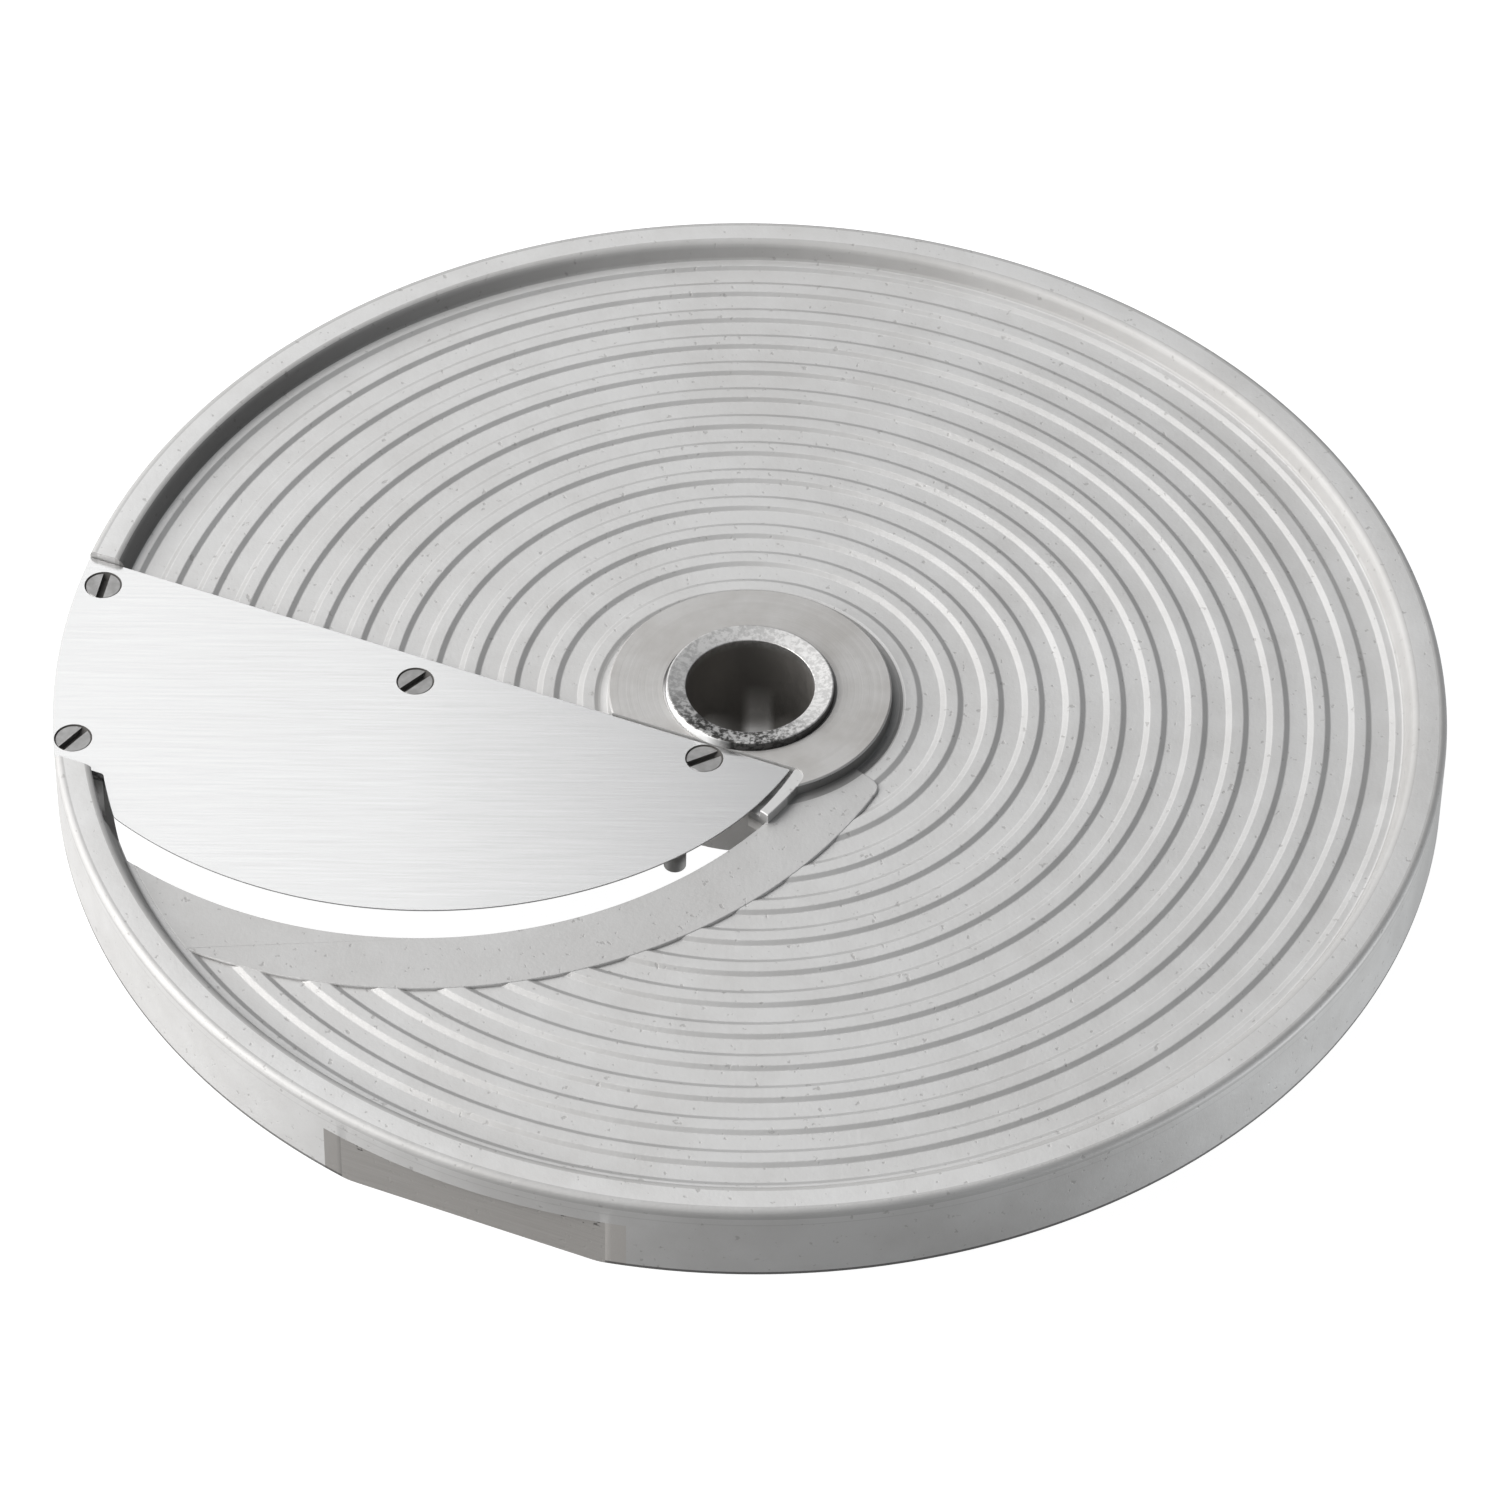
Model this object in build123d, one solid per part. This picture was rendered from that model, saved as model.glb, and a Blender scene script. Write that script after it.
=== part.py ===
from build123d import *
import math
import os

# Slicing disc of a vegetable cutter, in millimetres.
# The origin is on the bore axis, in the plane of the bush's lower end, and +Z points up, away from the table.
# Heights are measured from the rim's lower edge, and the finished pieces are raised by the bush's reach below it.
# The blade's back edge runs roughly along X, and the slices drop through the window in front of the blade.

# Rim
disc_diameter = 205.0
rim_height = 13.2
rim_top_width = 5.1
rim_inner_draft = 1.0
rim_outer_bevel = 0.6
rim_inner_rounding = 1.6
rim_foot_rounding = 0.7
skirt_thickness = 7.7

# Plate and its concentric ribs
groove_floor_height = 9.85
rib_height = 0.6
plate_thickness = 4.35
hub_groove_width = 1.02
rib_pitch = 6.008
rib_width = 2.53
rib_wall_run = 0.9
underside_rounding = 2.0

# Hub
bush_bore_diameter = 19.0
bush_outer_diameter = 24.8
bush_height = 13.5
bush_reach_below = 6.7
bush_dish_depth = 0.5
bush_bore_chamfer = 0.3
bush_edge_chamfer = 0.25
boss_top_radius = 20.9
boss_foot_radius = 21.5
boss_height = 12.4
boss_edge_bevel = 0.2
boss_mouth_chamfer = 0.45

# Blade
blade_thickness = 1.0
blade_top_height = 12.0
blade_edge_angle = -21.86
blade_back_distance = 12.61
blade_tab_width = 40.0
blade_tab_inset = 0.05
blade_tip_reach = 11.61
notch_gap = 0.55
notch_turn = 5.3699
edge_turn = (-11.25, -34.68)
edge_sagitta = 13.81
tip_arc_radius = 51.5
bevel_width = 2.2
cutting_edge_thickness = 0.2
blade_corner_rounding = 1.5
notch_rounding = 0.6
blade_tip_rounding = 0.35
pocket_clearance = 0.15

# Landing in front of the window
landing_rise = 0.1
window_gap = 4.1
window_shift_left = 1.2
landing_width = 9.8
landing_end_angle = -42.0
landing_end_rounding = 2.6

# Seat under the blade and the window between the seat and the landing
seat_setback = 8.4
seat_back_inset = 1.0
window_rim_gap = 0.4
window_floor_height = 3.0
rim_relief_depth = 1.1
rim_relief_reach = 1.9
finger_width = 3.3
finger_x = -10.55
finger_reach = 30.95

# Lip round the blade's tip
lip_height = 12.2
lip_gap = 0.65
lip_width = 2.05
lip_start_angle = -39.2
lip_corner_rounding = 2.0
pocket_turn = 3.4

# Flat milled on the outside of the rim
flat_direction = -112.0
flat_distance = 100.5
flat_height = 8.7

# Screws. Each rim screw has its distances from the blade's back edge and from the rim's outside.
# Each plate screw has its place along the back edge, and its distance from that edge.
rim_screws = [(4.65, 3.71), (35.1, 2.95)]
plate_screws = [(-46.16, 4.88), (-0.85, 2.87)]
slot_directions = [80.5, 52.0, 44.6, 27.2]
screw_diameter = 3.0
head_diameter = 5.3
countersink_diameter = 5.6
screw_length = 5.4
screw_slot_width = 1.1
screw_slot_depth = 0.8
screw_hole_depth = 6.5

# Values worked out from the sizes above
disc_radius = disc_diameter / 2
rim_inner_radius = disc_radius - rim_top_width
rim_foot_radius = rim_inner_radius - rim_inner_draft
rib_top_height = groove_floor_height + rib_height
plate_underside = groove_floor_height - plate_thickness
plate_middle = groove_floor_height - plate_thickness / 2
blade_seat_height = blade_top_height - blade_thickness
bush_radius = bush_outer_diameter / 2
first_rib_radius = boss_foot_radius + hub_groove_width
rib_count = math.floor((rim_foot_radius - rim_foot_rounding - rib_wall_run - first_rib_radius) / rib_pitch)
ledge_radius = first_rib_radius + rib_count * rib_pitch
rim_relief_radius = rim_foot_radius + rim_relief_depth
notch_radius = rim_foot_radius - notch_gap
tab_radius = disc_radius - blade_tab_inset
head_sink = (countersink_diameter - head_diameter) / 2
cut_height = rim_height + bush_height
blade_angle = math.radians(blade_edge_angle)


def fillet_corner(face, corner, radius):
    """Round the vertex of a face that lies nearest to a point."""
    nearest = face.vertices().sort_by_distance(corner)[0]
    return fillet(nearest, radius)


def bevel_corner(face, corner, length):
    """Bevel the vertex of a face that lies nearest to a point."""
    nearest = face.vertices().sort_by_distance(corner)[0]
    return chamfer(nearest, length)


def polar(centre, radius, degrees):
    turn = math.radians(degrees)
    return (centre[0] + radius * math.cos(turn), centre[1] + radius * math.sin(turn))


def bearing(centre, point):
    return math.degrees(math.atan2(point[1] - centre[1], point[0] - centre[0]))


def arc_between(centre, start, end):
    """Shorter arc about a centre, from one point to another."""
    radius = math.dist(centre, start)
    turn = (bearing(centre, end) - bearing(centre, start) + 180) % 360 - 180
    middle = polar(centre, radius, bearing(centre, start) + turn / 2)
    return ThreePointArc(start, middle, end)


def along_blade(distance, back_distance):
    """Point on a line parallel to the blade's back edge, at a distance from the axis."""
    foot_x = back_distance * math.sin(blade_angle)
    foot_y = -back_distance * math.cos(blade_angle)
    return (foot_x + distance * math.cos(blade_angle), foot_y + distance * math.sin(blade_angle))


def line_meets_circle(back_distance, centre, radius, side):
    """Where a line parallel to the back edge crosses a circle, on its left (-1) or right (+1) side."""
    centre_along = centre[0] * math.cos(blade_angle) + centre[1] * math.sin(blade_angle)
    centre_across = centre[0] * math.sin(blade_angle) - centre[1] * math.cos(blade_angle)
    half_chord = math.sqrt(radius**2 - (back_distance - centre_across) ** 2)
    return along_blade(centre_along + side * half_chord, back_distance)


def centre_left_of(start, end, radius):
    """Centre of the circle of a radius through two points, on the left of the way from one to the other."""
    half = math.dist(start, end) / 2
    rise = math.sqrt(radius**2 - half**2)
    step = ((end[0] - start[0]) / (2 * half), (end[1] - start[1]) / (2 * half))
    middle = ((start[0] + end[0]) / 2, (start[1] + end[1]) / 2)
    return (middle[0] - rise * step[1], middle[1] + rise * step[0])


def below_back_edge(extra):
    """Half plane on the blade's side of its back edge, moved back by an extra distance."""
    reach = 3 * disc_radius
    block = Rectangle(2 * reach, reach, align=(Align.CENTER, Align.MAX))
    return Rot(0, 0, blade_edge_angle) * Pos(0, -(blade_back_distance - extra)) * block


notch_top = line_meets_circle(blade_back_distance + blade_tab_width, (0, 0), notch_radius, -1)
edge_start = polar((0, 0), notch_radius, bearing((0, 0), notch_top) + notch_turn)
main_arc_radius = (math.dist(edge_start, edge_turn) ** 2 / 4 + edge_sagitta**2) / (2 * edge_sagitta)
main_centre = centre_left_of(edge_start, edge_turn, main_arc_radius)
blade_tip = along_blade(blade_tip_reach, blade_back_distance)
tip_centre = centre_left_of(edge_turn, blade_tip, tip_arc_radius)
pocket_centre = polar(blade_tip, tip_arc_radius, bearing(blade_tip, tip_centre) + pocket_turn)
landing_centre = (main_centre[0] - window_shift_left, main_centre[1] - window_gap)
landing_inner_radius = main_arc_radius
landing_outer_radius = landing_inner_radius + landing_width


def rib_profile_points():
    """Top of the plate from the rim inwards, as radius and height."""
    run = rib_wall_run / 2
    points = [(ledge_radius + run, rib_top_height), (ledge_radius - run, groove_floor_height)]
    for number in reversed(range(rib_count)):
        inner = first_rib_radius + number * rib_pitch
        outer = inner + rib_width
        points.append((outer + run, groove_floor_height))
        points.append((outer - run, rib_top_height))
        points.append((inner + run, rib_top_height))
        points.append((inner - run, groove_floor_height))
    return points


def boss_radius_at(height):
    return boss_foot_radius + (boss_top_radius - boss_foot_radius) * height / boss_height


def make_turned_body():
    """Rim, ribbed plate and hub boss, before anything is cut through them."""
    skirt_radius = disc_radius - skirt_thickness
    outline = [(bush_radius, 0), (boss_foot_radius, 0)]
    outline += [(boss_radius_at(plate_underside), plate_underside), (skirt_radius, plate_underside)]
    outline += [(skirt_radius, 0), (disc_radius, 0), (disc_radius, rim_height)]
    outline += [(rim_inner_radius, rim_height), (rim_foot_radius, rib_top_height)]
    outline += rib_profile_points()
    outline += [(boss_radius_at(groove_floor_height), groove_floor_height), (boss_top_radius, boss_height)]
    outline += [(bush_radius + boss_mouth_chamfer, boss_height)]
    outline += [(bush_radius, boss_height - boss_mouth_chamfer)]
    profile = make_face(Polyline(outline, close=True))
    profile = bevel_corner(profile, (disc_radius, rim_height), rim_outer_bevel)
    profile = bevel_corner(profile, (boss_top_radius, boss_height), boss_edge_bevel)
    profile = fillet_corner(profile, (rim_inner_radius, rim_height), rim_inner_rounding)
    profile = fillet_corner(profile, (rim_foot_radius, rib_top_height), rim_foot_rounding)
    profile = fillet_corner(profile, (skirt_radius, plate_underside), underside_rounding)
    profile = fillet_corner(profile, (boss_radius_at(plate_underside), plate_underside), underside_rounding)
    return revolve(Plane.XZ * profile, Axis.Z)


def make_boss_core():
    """Space that the window leaves to the hub boss."""
    return Cone(boss_foot_radius, boss_top_radius, boss_height, align=(Align.CENTER, Align.CENTER, Align.MIN))


def landing_area():
    """Raised ground from under the blade to the crescent's outer edge."""
    area = Pos(*landing_centre) * Circle(landing_outer_radius)
    area &= Circle(ledge_radius + rib_wall_run)
    area -= Pos(*main_centre) * Circle(main_arc_radius) - below_back_edge(-2 * seat_back_inset)
    reach = 2 * disc_radius
    beyond_end = Rectangle(reach, reach, align=(Align.CENTER, Align.MIN))
    area -= Rot(0, 0, landing_end_angle) * beyond_end
    corner = circle_corner(landing_end_angle, landing_centre, landing_outer_radius)
    return fillet_corner(area, corner, landing_end_rounding)


def circle_corner(degrees, centre, radius):
    """Where a ray from the axis leaves a circle."""
    ray = (math.cos(math.radians(degrees)), math.sin(math.radians(degrees)))
    along = centre[0] * ray[0] + centre[1] * ray[1]
    apart = math.hypot(centre[0], centre[1]) ** 2 - radius**2
    reach = along + math.sqrt(along**2 - apart)
    return (reach * ray[0], reach * ray[1])


def window_area():
    area = Pos(*landing_centre) * Circle(landing_inner_radius)
    area &= Circle(rim_foot_radius - window_rim_gap)
    area &= below_back_edge(-2 * seat_back_inset)
    return area - seat_area() + rim_relief_area()


def rim_relief_area():
    """Ground cut from the rim's foot so that the blade's corner stands free."""
    area = Pos(*main_centre) * Circle(main_arc_radius + rim_relief_reach)
    area &= Circle(rim_relief_radius) - Circle(rim_foot_radius - 2 * window_rim_gap)
    return area & below_back_edge(-blade_tab_width - pocket_clearance) & left_half_plane()


def seat_area():
    """Land under the blade, with the finger that carries the blade near its tip."""
    area = Pos(*main_centre) * Circle(main_arc_radius - seat_setback)
    area += finger_area()
    return area & below_back_edge(-seat_back_inset) & Circle(ledge_radius + rib_wall_run)


def finger_area():
    round_end_y = finger_width / 2 - finger_reach
    bar = Rectangle(finger_width, -round_end_y, align=(Align.CENTER, Align.MIN))
    return Pos(finger_x, round_end_y) * (bar + Circle(finger_width / 2))


def beside_tip(centre, growth):
    """Ground inside an arc grown from the tip's radius, up to the back edge and near the hub."""
    area = Pos(*centre) * Circle(tip_arc_radius + growth)
    area &= Circle(boss_foot_radius + lip_gap + lip_width + landing_end_rounding)
    return area & below_back_edge(pocket_clearance)


def lip_ground():
    """Ground inside the lip's outer edge, its corner behind the blade's tip rounded."""
    growth = lip_gap + lip_width
    back_line = blade_back_distance - pocket_clearance
    corner = line_meets_circle(back_line, tip_centre, tip_arc_radius + growth, 1)
    return fillet_corner(beside_tip(tip_centre, growth), corner, lip_corner_rounding)


def lip_area():
    area = beside_tip(tip_centre, lip_gap + lip_width)
    reach = disc_diameter
    before_start = Rectangle(2 * reach, reach, align=(Align.CENTER, Align.MAX))
    area -= Pos(*tip_centre) * Rot(0, 0, lip_start_angle) * before_start
    return area & Pos(boss_foot_radius, -boss_foot_radius) * Rectangle(2 * boss_foot_radius, boss_foot_radius)


def left_half_plane():
    """Everything well to the left of the axis, where the blade meets the rim."""
    side = Rectangle(disc_diameter, disc_diameter, align=(Align.MAX, Align.CENTER))
    return Pos(-rim_inner_radius / 2, 0) * side


def rim_recess_area():
    """Band across the rim that the blade's tab lies in."""
    band = below_back_edge(pocket_clearance) - below_back_edge(-blade_tab_width - pocket_clearance)
    return band & left_half_plane()


def raised(area, bottom, top):
    return extrude(Pos(0, 0, bottom) * area, top - bottom)


def make_flat_cutter():
    block = Box(disc_radius, disc_diameter, flat_height, align=(Align.MIN, Align.CENTER, Align.MIN))
    return Rot(0, 0, flat_direction) * Pos(flat_distance, 0, 0) * block


def screw_places():
    places = []
    for from_back, inset in rim_screws:
        line = blade_back_distance + from_back
        places.append(line_meets_circle(line, (0, 0), disc_radius - inset, -1))
    for along, from_back in plate_screws:
        places.append(along_blade(along, blade_back_distance + from_back))
    return places


def make_screw_hole(place):
    """Drilled hole with the countersink that the head sits in."""
    drill_depth = blade_thickness + screw_hole_depth
    hole = Cylinder(screw_diameter / 2, drill_depth, align=(Align.CENTER, Align.CENTER, Align.MAX))
    cone_depth = (countersink_diameter - screw_diameter) / 2
    sink = Cone(
        screw_diameter / 2,
        countersink_diameter / 2,
        cone_depth,
        align=(Align.CENTER, Align.CENTER, Align.MAX),
    )
    return Pos(place[0], place[1], blade_top_height) * (hole + sink)


def make_disc_body():
    body = make_turned_body()
    body -= raised(rim_recess_area(), blade_seat_height, cut_height)
    body += raised(landing_area(), plate_middle, rib_top_height + landing_rise)
    body += raised(seat_area(), plate_middle, blade_seat_height)
    body -= raised(window_area(), window_floor_height, boss_height) - make_boss_core()
    body += raised(lip_area(), plate_middle, lip_height)
    body -= raised(lip_ground(), lip_height, cut_height)
    body -= raised(beside_tip(pocket_centre, lip_gap), blade_seat_height, cut_height)
    body -= make_flat_cutter()
    for place in screw_places():
        body -= make_screw_hole(place)
    return body


def blade_outline():
    lower_line = blade_back_distance + blade_tab_width
    upper_left = line_meets_circle(blade_back_distance, (0, 0), tab_radius, -1)
    lower_left = line_meets_circle(lower_line, (0, 0), tab_radius, -1)
    edges = [
        Line(upper_left, blade_tip),
        arc_between(tip_centre, blade_tip, edge_turn),
        arc_between(main_centre, edge_turn, edge_start),
        arc_between((0, 0), edge_start, notch_top),
        Line(notch_top, lower_left),
        arc_between((0, 0), lower_left, upper_left),
    ]
    outline = make_face(Wire(edges))
    outline = fillet_corner(outline, edge_start, blade_corner_rounding)
    outline = fillet_corner(outline, notch_top, notch_rounding)
    return fillet_corner(outline, blade_tip, blade_tip_rounding)


def make_bevel_cutter(centre, radius, start_angle, end_angle):
    """Wedge that grinds the underside of the edge along one of its arcs."""
    bevel_top = blade_top_height - cutting_edge_thickness
    slope = (bevel_top - blade_seat_height) / bevel_width
    outline = [(radius - bevel_width - bevel_width, blade_seat_height - slope * bevel_width)]
    outline += [(radius + bevel_width, blade_seat_height - slope * bevel_width)]
    outline += [(radius + bevel_width, bevel_top), (radius, bevel_top)]
    profile = Plane.XZ * make_face(Polyline(outline, close=True))
    wedge = revolve(profile, Axis.Z, revolution_arc=end_angle - start_angle)
    return Pos(*centre) * Rot(0, 0, start_angle) * wedge


def make_blade():
    bevel_start = bearing(main_centre, notch_top)
    main_end = bearing(main_centre, edge_turn)
    tip_start = bearing(tip_centre, edge_turn)
    blade = raised(blade_outline(), blade_seat_height, blade_top_height)
    blade -= make_bevel_cutter(main_centre, main_arc_radius, bevel_start, main_end)
    blade -= make_bevel_cutter(tip_centre, tip_arc_radius, tip_start, 0)
    for place in screw_places():
        blade -= make_screw_hole(place)
    return blade


def make_screw(place, slot_direction):
    head_top = blade_top_height - head_sink
    cone_depth = (head_diameter - screw_diameter) / 2
    head = Cone(
        screw_diameter / 2,
        head_diameter / 2,
        cone_depth,
        align=(Align.CENTER, Align.CENTER, Align.MAX),
    )
    shank = Cylinder(screw_diameter / 2, screw_length, align=(Align.CENTER, Align.CENTER, Align.MAX))
    slot = Box(
        countersink_diameter,
        screw_slot_width,
        screw_slot_depth,
        align=(Align.CENTER, Align.CENTER, Align.MAX),
    )
    screw = head + shank - Rot(0, 0, slot_direction) * slot
    return Pos(place[0], place[1], head_top) * screw


def make_bush():
    """Bush with a dished upper end that leads the spindle into the bore."""
    bore_radius = bush_bore_diameter / 2
    mouth_height = bush_height - bush_dish_depth
    outline = [(bore_radius, bush_bore_chamfer - bush_reach_below)]
    outline += [(bore_radius + bush_bore_chamfer, -bush_reach_below)]
    outline += [(bush_radius - bush_edge_chamfer, -bush_reach_below)]
    outline += [(bush_radius, bush_edge_chamfer - bush_reach_below)]
    outline += [(bush_radius, bush_height - bush_edge_chamfer), (bush_radius - bush_edge_chamfer, bush_height)]
    outline += [(bore_radius + bush_bore_chamfer, mouth_height), (bore_radius, mouth_height - bush_bore_chamfer)]
    return revolve(Plane.XZ * make_face(Polyline(outline, close=True)), Axis.Z)


def main():
    os.makedirs("parts", exist_ok=True)
    screws = []
    for place, direction in zip(screw_places(), slot_directions):
        screws.append(make_screw(place, direction))
    raise_up = Pos(0, 0, bush_reach_below)
    export_step(raise_up * make_disc_body(), "parts/disc_body.step")
    export_step(raise_up * make_bush(), "parts/hub_bush.step")
    export_step(raise_up * make_blade(), "parts/slicing_blade.step")
    export_step(raise_up * Compound(screws), "parts/blade_screws.step")


main()
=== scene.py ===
import math

import bmesh
import bpy
from mathutils import Matrix, Vector


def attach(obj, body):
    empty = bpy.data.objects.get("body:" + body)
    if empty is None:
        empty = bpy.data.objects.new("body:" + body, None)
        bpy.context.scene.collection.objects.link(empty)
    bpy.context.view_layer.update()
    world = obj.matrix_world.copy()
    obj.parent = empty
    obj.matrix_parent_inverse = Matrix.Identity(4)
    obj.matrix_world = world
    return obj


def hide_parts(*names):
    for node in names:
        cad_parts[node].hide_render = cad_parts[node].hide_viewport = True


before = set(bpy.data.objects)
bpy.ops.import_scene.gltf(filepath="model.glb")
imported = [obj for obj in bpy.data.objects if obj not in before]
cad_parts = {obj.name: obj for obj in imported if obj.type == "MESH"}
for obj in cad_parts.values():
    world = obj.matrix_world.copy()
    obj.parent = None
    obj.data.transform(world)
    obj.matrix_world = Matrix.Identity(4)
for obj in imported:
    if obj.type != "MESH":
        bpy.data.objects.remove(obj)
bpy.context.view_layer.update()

print("frame loaded")

# every size below is in millimetres and degrees unless a note says otherwise
# heights start at the rim's lower edge, and each finished piece is lifted by the bush's reach below it
metre = 0.001
lift = 6.7

# camera, fitted to the rim, hub and rib circles of the photo
shot = {"elevation": 45.701, "distance": 1.11362, "focalPixels": 7503.14, "imagePixels": 1500,
        "aimShiftX": -0.769, "aimShiftY": -2.61, "roll": 0.822, "sensor": 36.0}


def addCamera():
    rise = math.radians(shot["elevation"])
    place = Vector((0, -math.cos(rise), math.sin(rise))) * shot["distance"]
    straight = -place.normalized()
    place.z += lift * metre
    right = Vector((1, 0, 0))
    up = right.cross(straight)
    sideways, upwards = shot["aimShiftX"] / shot["focalPixels"], shot["aimShiftY"] / shot["focalPixels"]
    ahead = straight - right * sideways + up * upwards
    ahead.normalize()
    right = ahead.cross(up).normalized()
    up = right.cross(ahead)
    turn = math.radians(shot["roll"])
    rolledRight = right * math.cos(turn) + up * math.sin(turn)
    rolledUp = up * math.cos(turn) - right * math.sin(turn)
    data = bpy.data.cameras.new("camera")
    data.sensor_width = shot["sensor"]
    data.lens = shot["focalPixels"] / shot["imagePixels"] * shot["sensor"]
    data.clip_start, data.clip_end = 0.05, 50
    data.dof.use_dof = False
    camera = bpy.data.objects.new("camera", data)
    camera.matrix_world = Matrix((
        (rolledRight.x, rolledUp.x, -ahead.x, place.x),
        (rolledRight.y, rolledUp.y, -ahead.y, place.y),
        (rolledRight.z, rolledUp.z, -ahead.z, place.z),
        (0, 0, 0, 1)))
    bpy.context.scene.collection.objects.link(camera)
    bpy.context.scene.camera = camera


addCamera()
print("camera placed")

# ---- plane geometry ----


def polar(centre, radius, degrees):
    turn = math.radians(degrees)
    return (centre[0] + radius * math.cos(turn), centre[1] + radius * math.sin(turn))


def bearing(centre, point):
    return math.degrees(math.atan2(point[1] - centre[1], point[0] - centre[0]))


def arcPoints(centre, start, end, step=1.0):
    # shorter arc from start to end, both ends kept
    radius = math.dist(centre, start)
    turn = (bearing(centre, end) - bearing(centre, start) + 180) % 360 - 180
    count = max(2, math.ceil(math.radians(abs(turn)) * radius / step))
    return [polar(centre, radius, bearing(centre, start) + turn * i / count) for i in range(count + 1)]


def softCorner(outline, corner, radius, steps=7):
    # the corner's sides are cut back along the outline and joined by a smooth curve
    count = len(outline)
    at = min(range(count), key=lambda i: math.dist(outline[i], corner))
    tip = Vector(outline[at])
    before = (Vector(outline[at - 1]) - tip).normalized()
    after = (Vector(outline[(at + 1) % count]) - tip).normalized()
    half = math.acos(max(-1, min(1, before.dot(after)))) / 2
    reach = radius / math.tan(half)

    def walk(way):
        left, index, here, used = reach, at, tip, 0
        while True:
            ahead = Vector(outline[(index + way) % count])
            length = (ahead - here).length
            if length > left:
                return here + (ahead - here) * (left / length), used
            left, index, here, used = left - length, index + way, ahead, used + 1

    first, usedBefore = walk(-1)
    last, usedAfter = walk(1)
    curve = []
    for i in range(steps + 1):
        t = i / steps
        curve.append(tuple(first * (1 - t) ** 2 + tip * 2 * t * (1 - t) + last * t ** 2))
    kept = [outline[(at + usedAfter + 1 + i) % count] for i in range(count - usedBefore - usedAfter - 1)]
    return curve + kept


def roundedPath(points, steps=2):
    # (radius, height, rounding) corners become a closed path with tangent arcs
    path = []
    count = len(points)
    for i, (x, z, rounding) in enumerate(points):
        here = Vector((x, z))
        before = Vector(points[i - 1][:2]) - here
        after = Vector(points[(i + 1) % count][:2]) - here
        if rounding <= 0:
            path.append((x, z))
            continue
        u, v = before.normalized(), after.normalized()
        half = math.acos(max(-1, min(1, u.dot(v)))) / 2
        reach = min(rounding / math.tan(half), before.length * 0.49, after.length * 0.49)
        radius = reach * math.tan(half)
        middle = here + (u + v).normalized() * (radius / math.sin(half))
        start, end = here + u * reach, here + v * reach
        first = math.atan2(start.y - middle.y, start.x - middle.x)
        sweep = math.atan2(end.y - middle.y, end.x - middle.x) - first
        sweep = (sweep + math.pi) % (2 * math.pi) - math.pi
        pieces = max(steps, math.ceil(abs(math.degrees(sweep)) / 22))
        for k in range(pieces + 1):
            turn = first + sweep * k / pieces
            path.append((middle.x + radius * math.cos(turn), middle.y + radius * math.sin(turn)))
    return path


# ---- mesh tools, all in millimetres until finishPiece ----
# a cutter stands out 1 mm past what it trims


def newPiece(name, points, faces):
    mesh = bpy.data.meshes.new(name)
    mesh.from_pydata(points, [], faces)
    tool = bmesh.new()
    tool.from_mesh(mesh)
    bmesh.ops.recalc_face_normals(tool, faces=tool.faces)
    tool.to_mesh(mesh)
    tool.free()
    piece = bpy.data.objects.new(name, mesh)
    bpy.context.scene.collection.objects.link(piece)
    return piece


def lathe(name, path, steps=320, centre=(0, 0), start=0, turn=360):
    whole = turn >= 360
    rings = steps if whole else steps + 1
    points, faces = [], []
    count = len(path)
    for i in range(rings):
        angle = math.radians(start + turn * i / steps)
        for radius, height in path:
            points.append((centre[0] + radius * math.cos(angle), centre[1] + radius * math.sin(angle), height))
    for i in range(steps):
        a, b = i * count, ((i + 1) % rings) * count
        for k in range(count):
            n = (k + 1) % count
            faces.append((a + k, b + k, b + n, a + n))
    if not whole:
        faces.append(tuple(range(count)))
        faces.append(tuple(steps * count + k for k in range(count)))
    return newPiece(name, points, faces)


def slab(name, outline, bottom, top, soften=0.0, steps=3):
    # upright wall on an outline, its top edge rounded by soften
    count = len(outline)
    area = sum(outline[i - 1][0] * outline[i][1] - outline[i][0] * outline[i - 1][1] for i in range(count))
    inward = 1 if area > 0 else -1
    inner = []
    for i in range(count):
        here = Vector(outline[i])
        a = (here - Vector(outline[i - 1])).normalized()
        b = (Vector(outline[(i + 1) % count]) - here).normalized()
        along = (a + b).normalized()
        stretch = 1 / max(0.5, along.dot(a))
        inner.append(Vector((-along.y, along.x)) * inward * stretch)
    levels = [(0.0, bottom), (0.0, top - soften)]
    for k in range(1, steps + 1):
        turn = math.pi / 2 * k / steps
        levels.append((soften * (1 - math.cos(turn)), top - soften + soften * math.sin(turn)))
    if soften <= 0:
        levels = [(0.0, bottom), (0.0, top)]
    points, faces = [], []
    for inset, height in levels:
        for i in range(count):
            spot = Vector(outline[i]) + inner[i] * inset
            points.append((spot.x, spot.y, height))
    for level in range(len(levels) - 1):
        a, b = level * count, (level + 1) * count
        for i in range(count):
            n = (i + 1) % count
            faces.append((a + i, a + n, b + n, b + i))
    faces.append(tuple(reversed(range(count))))
    faces.append(tuple((len(levels) - 1) * count + i for i in range(count)))
    return newPiece(name, points, faces)


def drum(radius, bottom, top, centre=(0, 0), steps=320):
    return slab("drum", [polar(centre, radius, 360 * i / steps) for i in range(steps)], bottom, top)


def bar(corners, bottom, top):
    return slab("bar", corners, bottom, top)


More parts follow.
